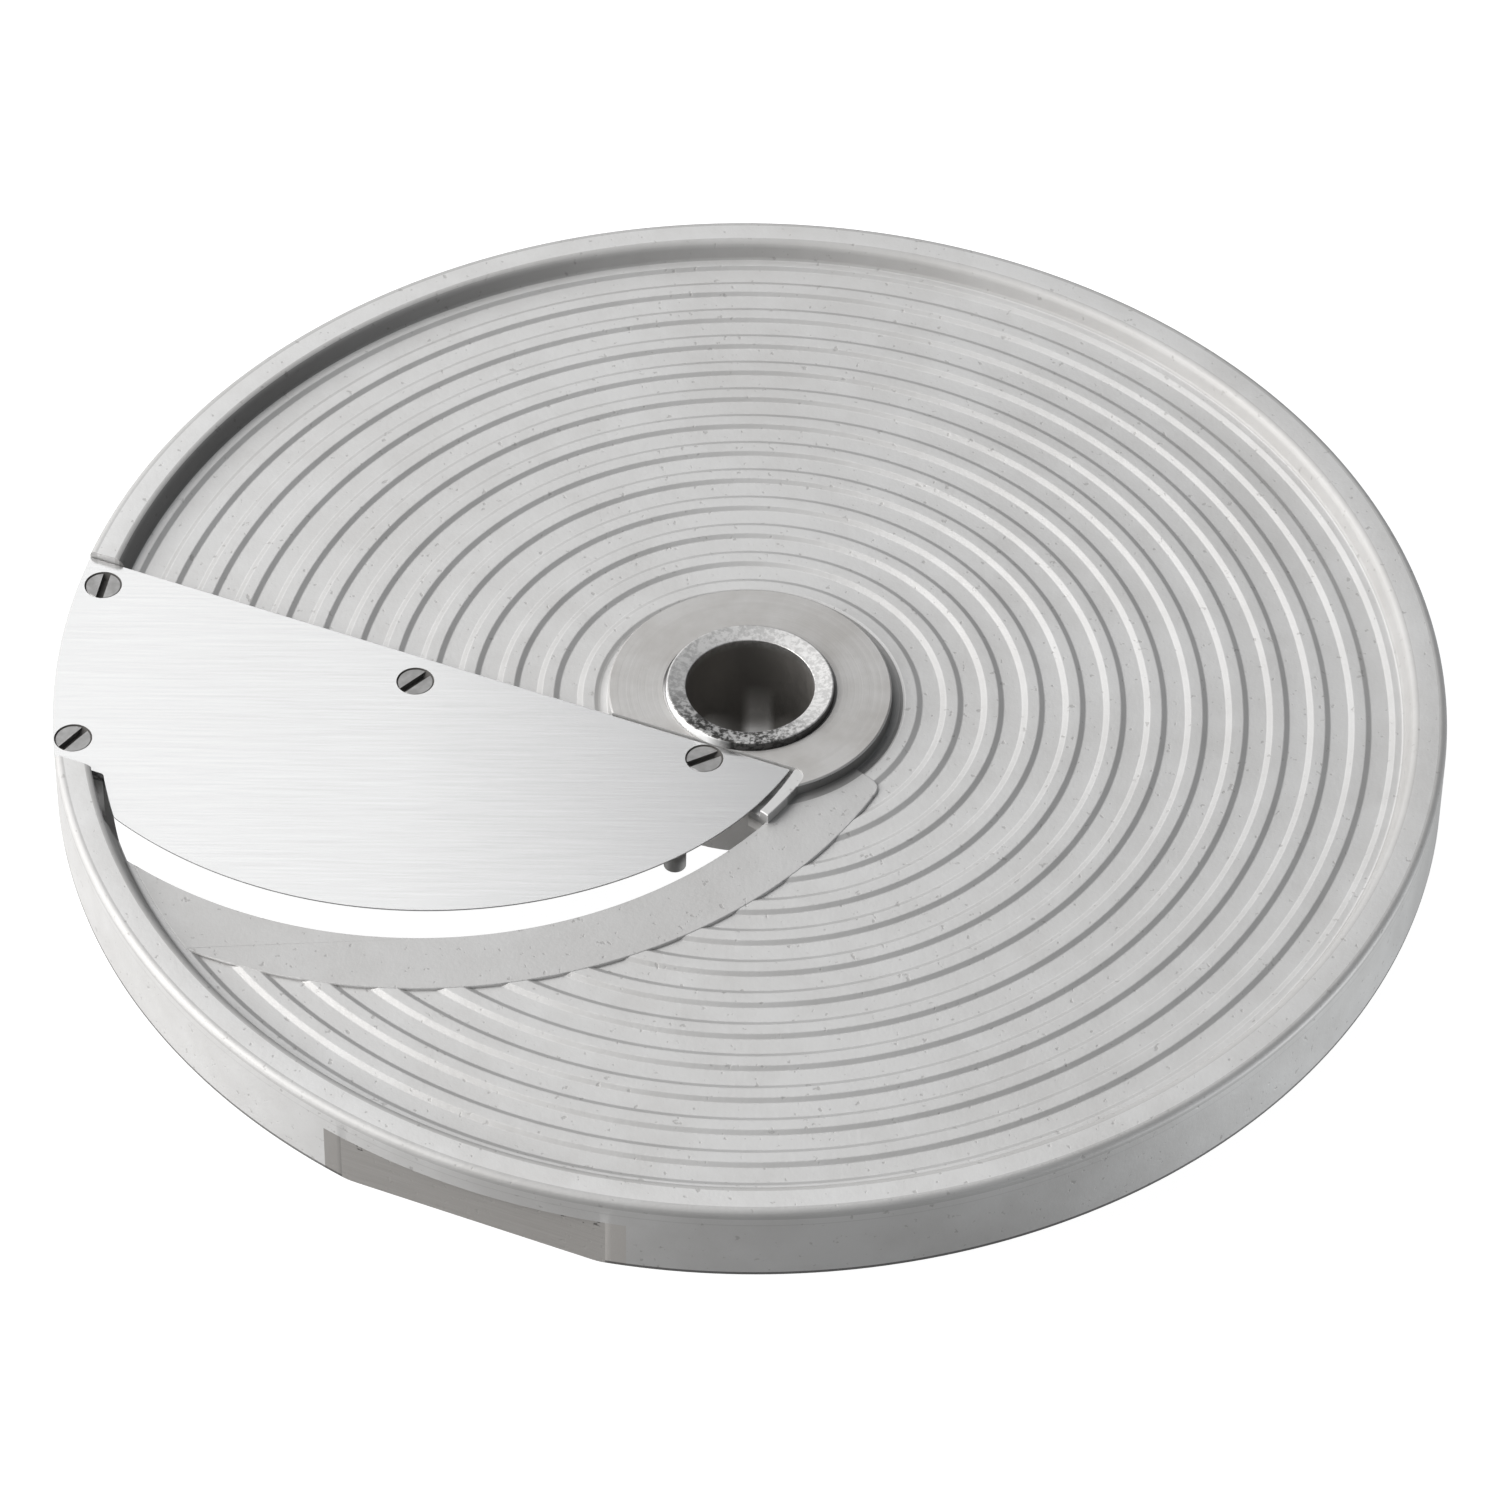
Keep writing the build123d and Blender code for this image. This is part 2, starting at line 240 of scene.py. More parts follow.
def carve(target, tool, way="DIFFERENCE"):
    boolean = target.modifiers.new("cut", "BOOLEAN")
    boolean.operation = way
    boolean.solver = "MANIFOLD"
    boolean.object = tool
    depsgraph = bpy.context.evaluated_depsgraph_get()
    result = bpy.data.meshes.new_from_object(target.evaluated_get(depsgraph))
    spent, used = target.data, tool.data
    target.modifiers.clear()
    target.data = result
    bpy.data.objects.remove(tool)
    bpy.data.meshes.remove(spent)
    bpy.data.meshes.remove(used)
    return target


def outlineOf(piece, height):
    # boundary of the flat top, in order
    tool = bmesh.new()
    tool.from_mesh(piece.data)
    flat = {face for face in tool.faces if all(abs(v.co.z - height) < 1e-3 for v in face.verts)}
    nextOf = {}
    for face in flat:
        for loop in face.loops:
            if loop.link_loop_radial_next.face not in flat:
                nextOf[loop.vert.index] = loop.link_loop_next.vert.index
    spots = {v.index: (v.co.x, v.co.y) for v in tool.verts}
    tool.free()
    start = next(iter(nextOf))
    loopPoints, here = [], start
    while True:
        loopPoints.append(spots[here])
        here = nextOf[here]
        if here == start:
            break
    clean = [p for i, p in enumerate(loopPoints) if math.dist(p, loopPoints[i - 1]) > 0.01]
    removePiece(piece)
    return clean


def removePiece(piece):
    mesh = piece.data
    bpy.data.objects.remove(piece)
    bpy.data.meshes.remove(mesh)


def finishPiece(piece, name, node, finishes, choose=None, sharpAngle=28, weld=2e-4):
    mesh = piece.data
    tool = bmesh.new()
    tool.from_mesh(mesh)
    bmesh.ops.remove_doubles(tool, verts=tool.verts, dist=weld)
    bmesh.ops.dissolve_degenerate(tool, edges=tool.edges, dist=weld)
    bmesh.ops.recalc_face_normals(tool, faces=tool.faces)
    bmesh.ops.translate(tool, vec=(0, 0, lift), verts=tool.verts)
    bmesh.ops.scale(tool, vec=(metre, metre, metre), verts=tool.verts)
    tool.to_mesh(mesh)
    tool.free()
    mesh.materials.clear()
    for finish in finishes:
        mesh.materials.append(finish)
    for face in mesh.polygons:
        face.material_index = choose(face.center / metre - Vector((0, 0, lift)), face.normal) if choose else 0
    mesh.shade_smooth()
    mesh.set_sharp_from_angle(angle=math.radians(sharpAngle))
    # broad faces keep their flat shading beside narrow roundings
    weighted = piece.modifiers.new("flatFaces", "WEIGHTED_NORMAL")
    weighted.weight = 80
    weighted.keep_sharp = True
    piece.name = name
    mesh.name = name
    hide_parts(node)
    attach(piece, "root")
    print(name, "finished with", len(mesh.polygons), "faces")
    return piece


# ---- blade lines, shared by the blade and by what is cut for it ----

blade = {"edgeAngle": -21.86, "backDistance": 12.61, "bottom": 11.0, "top": 12.0, "tabWidth": 40.0,
         "tabRadius": 102.45, "tipReach": 11.61, "notchRadius": 95.85, "startAngle": -163.2,
         "turnPoint": (-11.25, -34.68), "sagitta": 13.81, "tipRadius": 51.5, "bevelWidth": 2.2,
         "edgeThickness": 0.2, "cornerRounding": 1.5, "notchRounding": 0.6, "tipRounding": 0.35,
         "clearance": 0.15, "topSoften": 0.07, "pocketTurn": 3.4, "recessEnd": -48.7}
backTurn = math.radians(blade["edgeAngle"])


def alongBlade(distance, back):
    return (back * math.sin(backTurn) + distance * math.cos(backTurn),
            -back * math.cos(backTurn) + distance * math.sin(backTurn))


def lineMeetsCircle(back, radius):
    # left crossing of a line parallel to the back edge with a circle about the axis
    return alongBlade(-math.sqrt(radius ** 2 - back ** 2), back)


def centreLeftOf(start, end, radius):
    half = math.dist(start, end) / 2
    rise = math.sqrt(radius ** 2 - half ** 2)
    step = ((end[0] - start[0]) / (2 * half), (end[1] - start[1]) / (2 * half))
    return ((start[0] + end[0]) / 2 - rise * step[1], (start[1] + end[1]) / 2 + rise * step[0])


edgeStart = polar((0, 0), blade["notchRadius"], blade["startAngle"])
mainRadius = (math.dist(edgeStart, blade["turnPoint"]) ** 2 / 4 + blade["sagitta"] ** 2) / (2 * blade["sagitta"])
mainCentre = centreLeftOf(edgeStart, blade["turnPoint"], mainRadius)
bladeTip = alongBlade(blade["tipReach"], blade["backDistance"])
tipCentre = centreLeftOf(blade["turnPoint"], bladeTip, blade["tipRadius"])
pocketCentre = polar(bladeTip, blade["tipRadius"], bearing(bladeTip, tipCentre) + blade["pocketTurn"])


def inFrontOf(extra, bottom, top):
    # everything on the blade's side of its back edge, that edge moved back by extra
    back = blade["backDistance"] - extra
    near, far = 260, 520
    spots = ((-near, back + far), (near, back + far), (near, back), (-near, back))
    return bar([alongBlade(*spot) for spot in spots], bottom, top)


def leftOf(end, reach, bottom, top):
    return bar([(-reach, -reach), (end, -reach), (end, reach), (-reach, reach)], bottom, top)


# ---- disc body ----

disc = {"radius": 102.5, "rimHeight": 13.2, "rimTop": 5.1, "rimDraft": 1.0, "rimEdge": 1.0, "rimInnerEdge": 1.5,
        "footRounding": 0.7, "skirt": 7.7, "underRounding": 2.0, "grooveFloor": 10.08, "rib": 0.37, "plate": 4.58,
        "firstRib": 22.52, "ribCount": 12, "ribPitch": 6.008, "ribWidth": 2.53, "ribRun": 0.82, "ribRounding": 0.55,
        "bossTop": 20.9, "bossFoot": 21.5, "bossHeight": 12.4, "bossEdge": 0.3, "mouthChamfer": 0.45,
        "boreRadius": 12.4, "footEdge": 0.3, "rimFootEdge": 0.4, "bossCorner": 0.15, "mouthEdge": 0.1,
        "turnSteps": 320, "clearTop": 30}
landing = {"shiftLeft": 1.2, "gap": 4.1, "width": 9.8, "rise": 0.1, "endAngle": -42.0, "endRounding": 2.6,
           "middle": 7.675, "edge": 0.3, "ledgeSkin": 0.02}
window = {"floor": 3.0, "top": 14.0, "rimGap": 0.4, "reliefRadius": 97.5, "reliefReach": 1.9, "reliefEnd": -49,
          "backInset": 2.0, "skin": 0.02, "core": (2, 15)}
seat = {"setback": 8.4, "backInset": 1.0, "fingerWidth": 3.3, "fingerX": -10.55, "fingerReach": 30.95}
lip = {"height": 12.2, "gap": 0.65, "width": 2.05, "startAngle": -39.2, "edge": 0.25, "spare": 2.6,
       "cornerRounding": 2.0, "offTop": 0.004, "offSeat": 0.003}
flat = {"direction": -112.0, "distance": 100.5, "height": 8.7}
ribTop = disc["grooveFloor"] + disc["rib"]
rimInner = disc["radius"] - disc["rimTop"]
rimFoot = rimInner - disc["rimDraft"]
ledge = disc["firstRib"] + disc["ribCount"] * disc["ribPitch"]
landingCentre = (mainCentre[0] - landing["shiftLeft"], mainCentre[1] - landing["gap"])


def bossRadiusAt(height):
    return disc["bossFoot"] + (disc["bossTop"] - disc["bossFoot"]) * height / disc["bossHeight"]


def bodyPath():
    under = disc["grooveFloor"] - disc["plate"]
    skirt = disc["radius"] - disc["skirt"]
    run = disc["ribRun"] / 2
    floor, soft = disc["grooveFloor"], disc["ribRounding"]
    corners = [(disc["boreRadius"], 0, 0), (disc["bossFoot"], 0, disc["footEdge"])]
    corners += [(bossRadiusAt(under), under, disc["underRounding"]), (skirt, under, disc["underRounding"])]
    corners += [(skirt, 0, disc["footEdge"]), (disc["radius"], 0, disc["rimFootEdge"])]
    corners += [(disc["radius"], disc["rimHeight"], disc["rimEdge"])]
    corners += [(rimInner, disc["rimHeight"], disc["rimInnerEdge"]), (rimFoot, ribTop, disc["footRounding"])]
    corners += [(ledge + run, ribTop, soft), (ledge - run, floor, soft)]
    for number in reversed(range(disc["ribCount"])):
        inner = disc["firstRib"] + number * disc["ribPitch"]
        outer = inner + disc["ribWidth"]
        corners += [(outer + run, floor, soft), (outer - run, ribTop, soft), (inner + run, ribTop, soft)]
        corners += [(inner - run, floor, soft)]
    corners += [(bossRadiusAt(floor), floor, disc["bossCorner"])]
    corners += [(disc["bossTop"], disc["bossHeight"], disc["bossEdge"])]
    corners += [(disc["boreRadius"] + disc["mouthChamfer"], disc["bossHeight"], disc["mouthEdge"])]
    corners += [(disc["boreRadius"], disc["bossHeight"] - disc["mouthChamfer"], 0)]
    return roundedPath(corners)


def seatBlock(bottom, top, shrink=0.0):
    block = drum(mainRadius - seat["setback"] - shrink, bottom, top, mainCentre)
    half = seat["fingerWidth"] / 2 - shrink
    endY = seat["fingerWidth"] / 2 - seat["fingerReach"]
    steps = 24
    round_ = [polar((seat["fingerX"], endY), half, 180 + 180 * i / steps) for i in range(steps + 1)]
    sides = [(seat["fingerX"] + half, 0.0), (seat["fingerX"] - half, 0.0)]
    finger = slab("finger", round_ + sides, bottom - 0.5, top + 0.5)
    finger = carve(finger, drum(300, bottom, top), "INTERSECT")
    carve(block, finger, "UNION")
    carve(block, inFrontOf(-seat["backInset"] - shrink, bottom - 1, top + 1), "INTERSECT")
    return carve(block, drum(ledge + disc["ribRun"] - shrink, bottom - 1, top + 1), "INTERSECT")


def windowBlock():
    bottom, top = window["floor"], window["top"]
    block = drum(mainRadius, bottom, top, landingCentre)
    carve(block, drum(rimFoot - window["rimGap"], bottom - 1, top + 1), "INTERSECT")
    carve(block, inFrontOf(-window["backInset"], bottom - 1, top + 1), "INTERSECT")
    carve(block, seatBlock(bottom - 1, top + 1, window["skin"]))
    relief = drum(mainRadius + window["reliefReach"], bottom, top, mainCentre)
    carve(relief, drum(window["reliefRadius"], bottom - 1, top + 1), "INTERSECT")
    carve(relief, drum(rimFoot - 2 * window["rimGap"], bottom - 1, top + 1))
    carve(relief, inFrontOf(-blade["tabWidth"] - blade["clearance"], bottom - 1, top + 1), "INTERSECT")
    carve(relief, leftOf(window["reliefEnd"], 120, bottom - 1, top + 1), "INTERSECT")
    carve(block, relief, "UNION")
    skin = window["skin"]
    low, high = window["core"]
    core = lathe("core", [(1, low), (bossRadiusAt(low) + skin, low), (bossRadiusAt(high) + skin, high), (1, high)],
                 disc["turnSteps"])
    carve(core, drum(2, low, high, steps=24), "UNION")
    return carve(block, core)


def landingBlock():
    bottom, top = landing["middle"], ribTop + landing["rise"]
    outer = mainRadius + landing["width"]
    block = drum(outer, bottom, top, landingCentre, 480)
    carve(block, drum(ledge + disc["ribRun"] + landing["ledgeSkin"], bottom - 1, top + 1), "INTERSECT")
    behind = drum(mainRadius, bottom - 1, top + 1, mainCentre)
    carve(behind, inFrontOf(-2 * seat["backInset"], bottom - 2, top + 2))
    carve(block, behind)
    reach = 240
    ray, side = polar((0, 0), reach, landing["endAngle"]), polar((0, 0), reach, landing["endAngle"] + 90)
    far = (ray[0] + side[0], ray[1] + side[1])
    other = (side[0] - ray[0], side[1] - ray[1])
    carve(block, bar([(-ray[0], -ray[1]), ray, far, other], bottom - 1, top + 1))
    rayX, rayY = math.cos(math.radians(landing["endAngle"])), math.sin(math.radians(landing["endAngle"]))
    along = landingCentre[0] * rayX + landingCentre[1] * rayY
    apart = math.hypot(*landingCentre) ** 2 - outer ** 2
    away = along + math.sqrt(along ** 2 - apart)
    outline = softCorner(outlineOf(block, top), (away * rayX, away * rayY), landing["endRounding"])
    return slab("landing", outline, bottom, top, landing["edge"])


def besideTip(centre, growth, bottom, top):
    block = drum(blade["tipRadius"] + growth, bottom, top, centre)
    around = disc["bossFoot"] + lip["gap"] + lip["width"] + lip["spare"]
    carve(block, drum(around, bottom - 1, top + 1), "INTERSECT")
    return carve(block, inFrontOf(blade["clearance"], bottom - 1, top + 1), "INTERSECT")


def lipBlock():
    bottom, top = landing["middle"], lip["height"]
    block = besideTip(tipCentre, lip["gap"] + lip["width"], bottom, top)
    start, length, width = lip["startAngle"], 400, 200
    behind, ahead = polar(tipCentre, -length, start), polar(tipCentre, length, start)
    corners = [behind, polar(behind, width, start - 90), polar(ahead, width, start - 90), ahead]
    carve(block, bar(corners, bottom - 1, top + 1))
    foot = disc["bossFoot"]
    corners = [(0, -1.5 * foot), (2 * foot, -1.5 * foot), (2 * foot, -0.5 * foot), (0, -0.5 * foot)]
    carve(block, bar(corners, bottom - 1, top + 1), "INTERSECT")
    return slab("lip", outlineOf(block, top), bottom, top, lip["edge"])


def lipGround(bottom, top):
    # what is milled down to the lip's height, its corner behind the blade's tip rounded
    block = besideTip(tipCentre, lip["gap"] + lip["width"], bottom, top)
    back = blade["backDistance"] - blade["clearance"]
    foot = alongBlade(0, back)
    along = (tipCentre[0] - foot[0]) * math.cos(backTurn) + (tipCentre[1] - foot[1]) * math.sin(backTurn)
    across = (foot[0] - tipCentre[0]) * math.sin(backTurn) - (foot[1] - tipCentre[1]) * math.cos(backTurn)
    reach = along + math.sqrt((blade["tipRadius"] + lip["gap"] + lip["width"]) ** 2 - across ** 2)
    outline = softCorner(outlineOf(block, top), alongBlade(reach, back), lip["cornerRounding"])
    return slab("lipGround", outline, bottom, top)


def recessBlock():
    bottom, top = blade["bottom"], disc["clearTop"]
    block = inFrontOf(blade["clearance"], bottom, top)
    carve(block, inFrontOf(-blade["tabWidth"] - blade["clearance"], bottom - 1, top + 1))
    return carve(block, leftOf(blade["recessEnd"], 200, bottom - 1, top + 1), "INTERSECT")


def flatBlock():
    # the milled flat's corners, outwards from its plane
    spots = []
    half, depth, low = 80, 40, -5
    for out, across in ((0, -half), (depth, -half), (depth, half), (0, half)):
        ahead = polar((0, 0), flat["distance"] + out, flat["direction"])
        side = polar((0, 0), across, flat["direction"] + 90)
        spots.append((ahead[0] + side[0], ahead[1] + side[1]))
    return bar(spots, low, flat["height"])


# ---- screws ----

screws = {"rim": ((4.65, 3.71), (35.1, 2.95)), "plate": ((-46.16, 4.88), (-0.85, 2.87)),
          "slots": (80.5, 52.0, 44.6, 27.2), "shank": 1.5, "head": 2.65, "sink": 2.8, "length": 5.4,
          "slotWidth": 1.1, "slotDepth": 0.8, "hole": 6.5, "endBevel": 0.25,
          "headCorner": ((0.05, 0.06), (0.12, 0))}


def screwPlaces():
    places = []
    for back, inset in screws["rim"]:
        places.append(lineMeetsCircle(blade["backDistance"] + back, disc["radius"] - inset))
    for along, back in screws["plate"]:
        places.append(alongBlade(along, blade["backDistance"] + back))
    return places


def screwHole(place):
    top, shank = blade["top"], screws["shank"]
    depth = screws["sink"] - shank
    end = top - 1 - screws["hole"]
    path = [(0, end), (shank, end), (shank, top - depth), (screws["sink"], top)]
    path += [(screws["sink"], top + 3), (0, top + 3)]
    return solidTurned("hole", path, place, 64)


def solidTurned(name, path, centre, steps):
    # turned solid whose path starts and ends on the axis
    points = [(centre[0], centre[1], path[0][1]), (centre[0], centre[1], path[-1][1])]
    inner = path[1:-1]
    count = len(inner)
    for i in range(steps):
        turn = 2 * math.pi * i / steps
        for radius, height in inner:
            points.append((centre[0] + radius * math.cos(turn), centre[1] + radius * math.sin(turn), height))
    faces = []
    for i in range(steps):
        a, b = 2 + i * count, 2 + (i + 1) % steps * count
        faces.append((0, b, a))
        faces.append((1, a + count - 1, b + count - 1))
        for k in range(count - 1):
            faces.append((a + k, b + k, b + k + 1, a + k + 1))
    return newPiece(name, points, faces)


def screwPiece():
    shank, head, top = screws["shank"], screws["head"], blade["top"] - (screws["sink"] - screws["head"])
    end, bevel = top - screws["length"], screws["endBevel"]
    path = [(0, end), (shank - bevel, end), (shank, end + bevel), (shank, top - head + shank)]
    path += [(head - inset, top - below) for inset, below in screws["headCorner"]] + [(0, top)]
    whole = None
    for place, slotTurn in zip(screwPlaces(), screws["slots"]):
        screw = solidTurned("screw", path, place, 72)
        across = math.radians(slotTurn)
        u, v = Vector((math.cos(across), math.sin(across))), Vector((-math.sin(across), math.cos(across)))
        half = screws["slotWidth"] / 2
        reach = 5
        ends = ((-reach, -half), (reach, -half), (reach, half), (-reach, half))
        spots = [Vector(place) + u * a + v * b for a, b in ends]
        carve(screw, bar([tuple(s) for s in spots], top - screws["slotDepth"], top + 2))
        if whole is None:
            whole = screw
        else:
            joined = bmesh.new()
            joined.from_mesh(whole.data)
            joined.from_mesh(screw.data)
            joined.to_mesh(whole.data)
            joined.free()
            removePiece(screw)
    return whole


def bladePiece():
    lowerLine = blade["backDistance"] + blade["tabWidth"]
    upperLeft = lineMeetsCircle(blade["backDistance"], blade["tabRadius"])
    lowerLeft = lineMeetsCircle(lowerLine, blade["tabRadius"])
    notchTop = lineMeetsCircle(lowerLine, blade["notchRadius"])
    outline = [upperLeft, bladeTip]
    outline += arcPoints(tipCentre, bladeTip, blade["turnPoint"])[1:]
    outline += arcPoints(mainCentre, blade["turnPoint"], edgeStart)[1:]
    outline += arcPoints((0, 0), edgeStart, notchTop)[1:]
    outline += [lowerLeft]
    outline += arcPoints((0, 0), lowerLeft, upperLeft)[1:-1]
    outline = softCorner(outline, edgeStart, blade["cornerRounding"])
    outline = softCorner(outline, notchTop, blade["notchRounding"])
    outline = softCorner(outline, bladeTip, blade["tipRounding"])
    piece = slab("blade", outline, blade["bottom"], blade["top"], blade["topSoften"], 2)
    under = blade["top"] - blade["edgeThickness"]
    width = blade["bevelWidth"]
    slope = (under - blade["bottom"]) / width
    low = blade["bottom"] - slope * width
    turnStart, turnEnd = bearing(mainCentre, notchTop), bearing(mainCentre, blade["turnPoint"])
    spans = ((mainCentre, mainRadius, turnStart % 360, turnEnd % 360, 160),
             (tipCentre, blade["tipRadius"], bearing(tipCentre, blade["turnPoint"]), 0, 90))
    for centre, radius, first, last, steps in spans:
        wedge = [(radius - 2 * width, low), (radius + width, low), (radius + width, under), (radius, under)]
        carve(piece, lathe("wedge", wedge, steps, centre, first, last - first))
    for place in screwPlaces():
        carve(piece, screwHole(place))
    return piece


def bodyPiece():
    piece = lathe("body", bodyPath(), disc["turnSteps"])
    carve(piece, recessBlock())
    carve(piece, landingBlock(), "UNION")
    carve(piece, seatBlock(landing["middle"], blade["bottom"]), "UNION")
    carve(piece, windowBlock())
    carve(piece, lipBlock(), "UNION")
    # these cuts start a hair off the lip's top and the seat, so that no two faces coincide
    carve(piece, lipGround(lip["height"] - lip["offTop"], disc["clearTop"]))
    carve(piece, besideTip(pocketCentre, lip["gap"], blade["bottom"] + lip["offSeat"], disc["clearTop"]))
    carve(piece, flatBlock())
    for place in screwPlaces():
        carve(piece, screwHole(place))
    return piece


bush = {"bore": 9.5, "outside": 12.4, "height": 13.5, "dish": 0.52, "boreEdge": 0.18, "outerEdge": 0.3,
        "lowEdges": (0.3, 0.25)}


def bushPiece():
    low, high = -lift, bush["height"]
    innerEdge, outerEdge = bush["lowEdges"]
    corners = [(bush["bore"], low, innerEdge), (bush["outside"], low, outerEdge)]
    corners += [(bush["outside"], high, bush["outerEdge"]), (bush["bore"], high - bush["dish"], bush["boreEdge"])]
    return lathe("bush", roundedPath(corners, 4), 256)


# ---- finishes ----
# places in a finish are in metres from the axis and from the table up, a tint is (share, colour), used for stains,
# plain tones, painted shade and painted light, spread is how much the noise adds to the roughness, and bump is
# (strength, depth)


class Value:
    # a socket that takes part in sums
    def __init__(self, finish, socket):
        self.finish, self.socket = finish, socket

    def sum(self, operation, other, swapped=False):
        pair = (other, self) if swapped else (self, other)
        return self.finish.node("ShaderNodeMath", {"operation": operation}, {0: pair[0], 1: pair[1]})

    def __add__(self, other):
        return self.sum("ADD", other)

    def __sub__(self, other):
        return self.sum("SUBTRACT", other)

    def __rsub__(self, other):
        return self.sum("SUBTRACT", other, True)

    def __mul__(self, other):
        return self.sum("MULTIPLY", other)

    def __truediv__(self, other):
        return self.sum("DIVIDE", other)

    def __pow__(self, other):
        return self.sum("POWER", other)

    def __gt__(self, other):
        return self.sum("GREATER_THAN", other)

    def __lt__(self, other):
        return self.sum("LESS_THAN", other)

    def between(self, low, high):
        return (self > low) * (self < high)

    __radd__, __rmul__ = __add__, __mul__


class Finish:
    def __init__(self, name):
        self.material = bpy.data.materials.new(name)
        self.material.use_nodes = True
        self.tree = self.material.node_tree
        self.shader = self.tree.nodes["Principled BSDF"]
        self.place = self.node("ShaderNodeTexCoord", {}, {}, "Object")

    def node(self, kind, settings, sockets, output=0):
        made = self.tree.nodes.new(kind)
        for key, value in settings.items():
            if key == "stops":
                self.setStops(made.color_ramp, value)
            else:
                setattr(made, key, value)
        for key, value in sockets.items():
            if isinstance(value, Value):
                self.tree.links.new(value.socket, made.inputs[key])
            else:
                made.inputs[key].default_value = value
        return Value(self, made.outputs[output])

    def setStops(self, ramp, stops):
        while len(ramp.elements) > 1:
            ramp.elements.remove(ramp.elements[-1])
        for i, (at, shade) in enumerate(stops):
            stop = ramp.elements[0] if i == 0 else ramp.elements.new(at)
            stop.position = at
            stop.color = (shade, shade, shade, 1)

    def noise(self, scale, detail=3.0, roughness=0.55, where=None):
        sockets = {"Vector": where or self.place, "Scale": scale, "Detail": detail, "Roughness": roughness}
        return self.node("ShaderNodeTexNoise", {}, sockets, "Fac")

    def stretched(self, scale, turn=(0.0, 0.0, 0.0)):
        return self.node("ShaderNodeMapping", {}, {"Vector": self.place, "Scale": scale, "Rotation": turn})

    def ramp(self, value, stops):
        return self.node("ShaderNodeValToRGB", {"stops": stops}, {"Fac": value})

    def mixed(self, mask, first, second):
        # first where the mask is 0, second where it is 1
        settings = {"data_type": "RGBA"}
        return self.node("ShaderNodeMix", settings, {"Factor": mask, 6: first, 7: second}, 2)

    def tinted(self, mask, colour, tint):
        # lays the colour over the mask by its share; used for stains and for painted shade and painted light
        share, shade = tint
        return self.mixed(mask * share, colour, shade)

    def axes(self):
        made = self.tree.nodes.new("ShaderNodeSeparateXYZ")
        self.tree.links.new(self.place.socket, made.inputs[0])
        return [Value(self, made.outputs[i]) for i in range(3)]

    def radius(self):
        x, y = self.axes()[:2]
        return (x * x + y * y) ** 0.5

    def along(self, degrees):
        # distance from the axis in one direction
        x, y = self.axes()[:2]
        turn = math.radians(degrees)
        return x * math.cos(turn) + y * math.sin(turn)

    def facing(self, degrees):
        # 1 in that direction from the axis, -1 opposite
        return self.along(degrees) / self.radius()

    def bump(self, height, strength, distance):
        return self.node("ShaderNodeBump", {}, {"Height": height, "Strength": strength, "Distance": distance})

    def set(self, **values):
        for key, value in values.items():
            socket = self.shader.inputs[key.replace("_", " ")]
            if isinstance(value, Value):
                self.tree.links.new(value.socket, socket)
            else:
                socket.default_value = value


def grey(level, warm=0.0):
    return (level * (1 + warm), level, level * (1 - warm), 1)


castLook = {"light": grey(0.595, 0.006), "dark": grey(0.51, 0.016), "darkShare": 0.7, "metallic": 0.5,
            "roughness": 0.43, "patches": (38, 5, 0.62), "grain": (1500, 3, 0.6), "blots": (190, 4, 0.6),
            "pits": (900, 2, 0.5), "darkFade": ((0.38, 1.0), (0.6, 0.0)), "pitFade": ((0.27, 1.0), (0.33, 0.0)),
            "spread": 0.16, "innerEdgeSpread": 0.15, "outerEdgeSpread": 0.12, "bump": (0.35, 0.00012)}
castAreas = {"lowBelow": 0.0195, "lipAbove": 0.0187, "lipWithin": 0.026, "lipShare": 0.3,
             "bossFoot": (0.0207, 0.0226), "bossBelow": 0.0188, "bossShadeWay": -8.0,
             "bossShadeFade": ((0.5, 0.0), (0.8, 1.0)),
             "innerEdge": (0.0962, 0.0984), "innerEdgeAbove": 0.01717,
             "outerEdge": 0.1013, "outerEdgeAbove": 0.0185,
             "milledFrom": 0.09988, "milledOutside": 0.1, "milledBelow": 0.0154, "flatMiddle": -0.04,
             "ribs": (0.0224, 0.0953), "ribHeights": (0.0160, 0.01722), "flankLead": 0.6,
             "flankWidths": (0.045, 0.07),
             "wall": (0.0962, 0.0977), "wallAbove": 0.01716, "wallWay": 158.0,
             "wallFade": ((0.8, 0.0), (0.99, 1.0)),
             "landing": (0.01722, 0.0174), "lowEdgeBelow": 0.00745, "lowEdgeOutside": 0.1012,
             "windowWithin": 0.037, "fingerSides": (-0.0135, -0.0080), "fingerBefore": -0.0240,
             "fingerBelow": 0.0172, "slotWallBefore": -0.0150, "slotWallBelow": 0.0163}
# colours laid over the casting: pits are real, low and landing are plain darker tones, slotWall and flatRight are
# painted light, and the other marks are painted shade
castStainsAndPaintedLight = {"pits": (0.5, grey(0.3, 0.03)), "low": (0.1, grey(0.2, 0.02)), "bossFoot": (0.62, grey(0.04, 0.03)),
              "innerEdge": (0.3, grey(0.2, 0.04)), "outerEdge": (0.3, grey(0.2, 0.02)),
              "flatLeft": (1.0, grey(0.28, 0.04)), "flatRight": (1.0, grey(0.49, 0.04)),
              "flanks": (0.18, grey(0.1, 0.03)), "wall": (0.6, grey(0.05, 0.04)),
              "landing": (0.17, grey(0.2, 0.02)), "lowEdge": (0.8, grey(0.08, 0.02)),
              "slotWall": (0.45, grey(0.95, 0.03)), "finger": (0.5, grey(0.1, 0.03))}


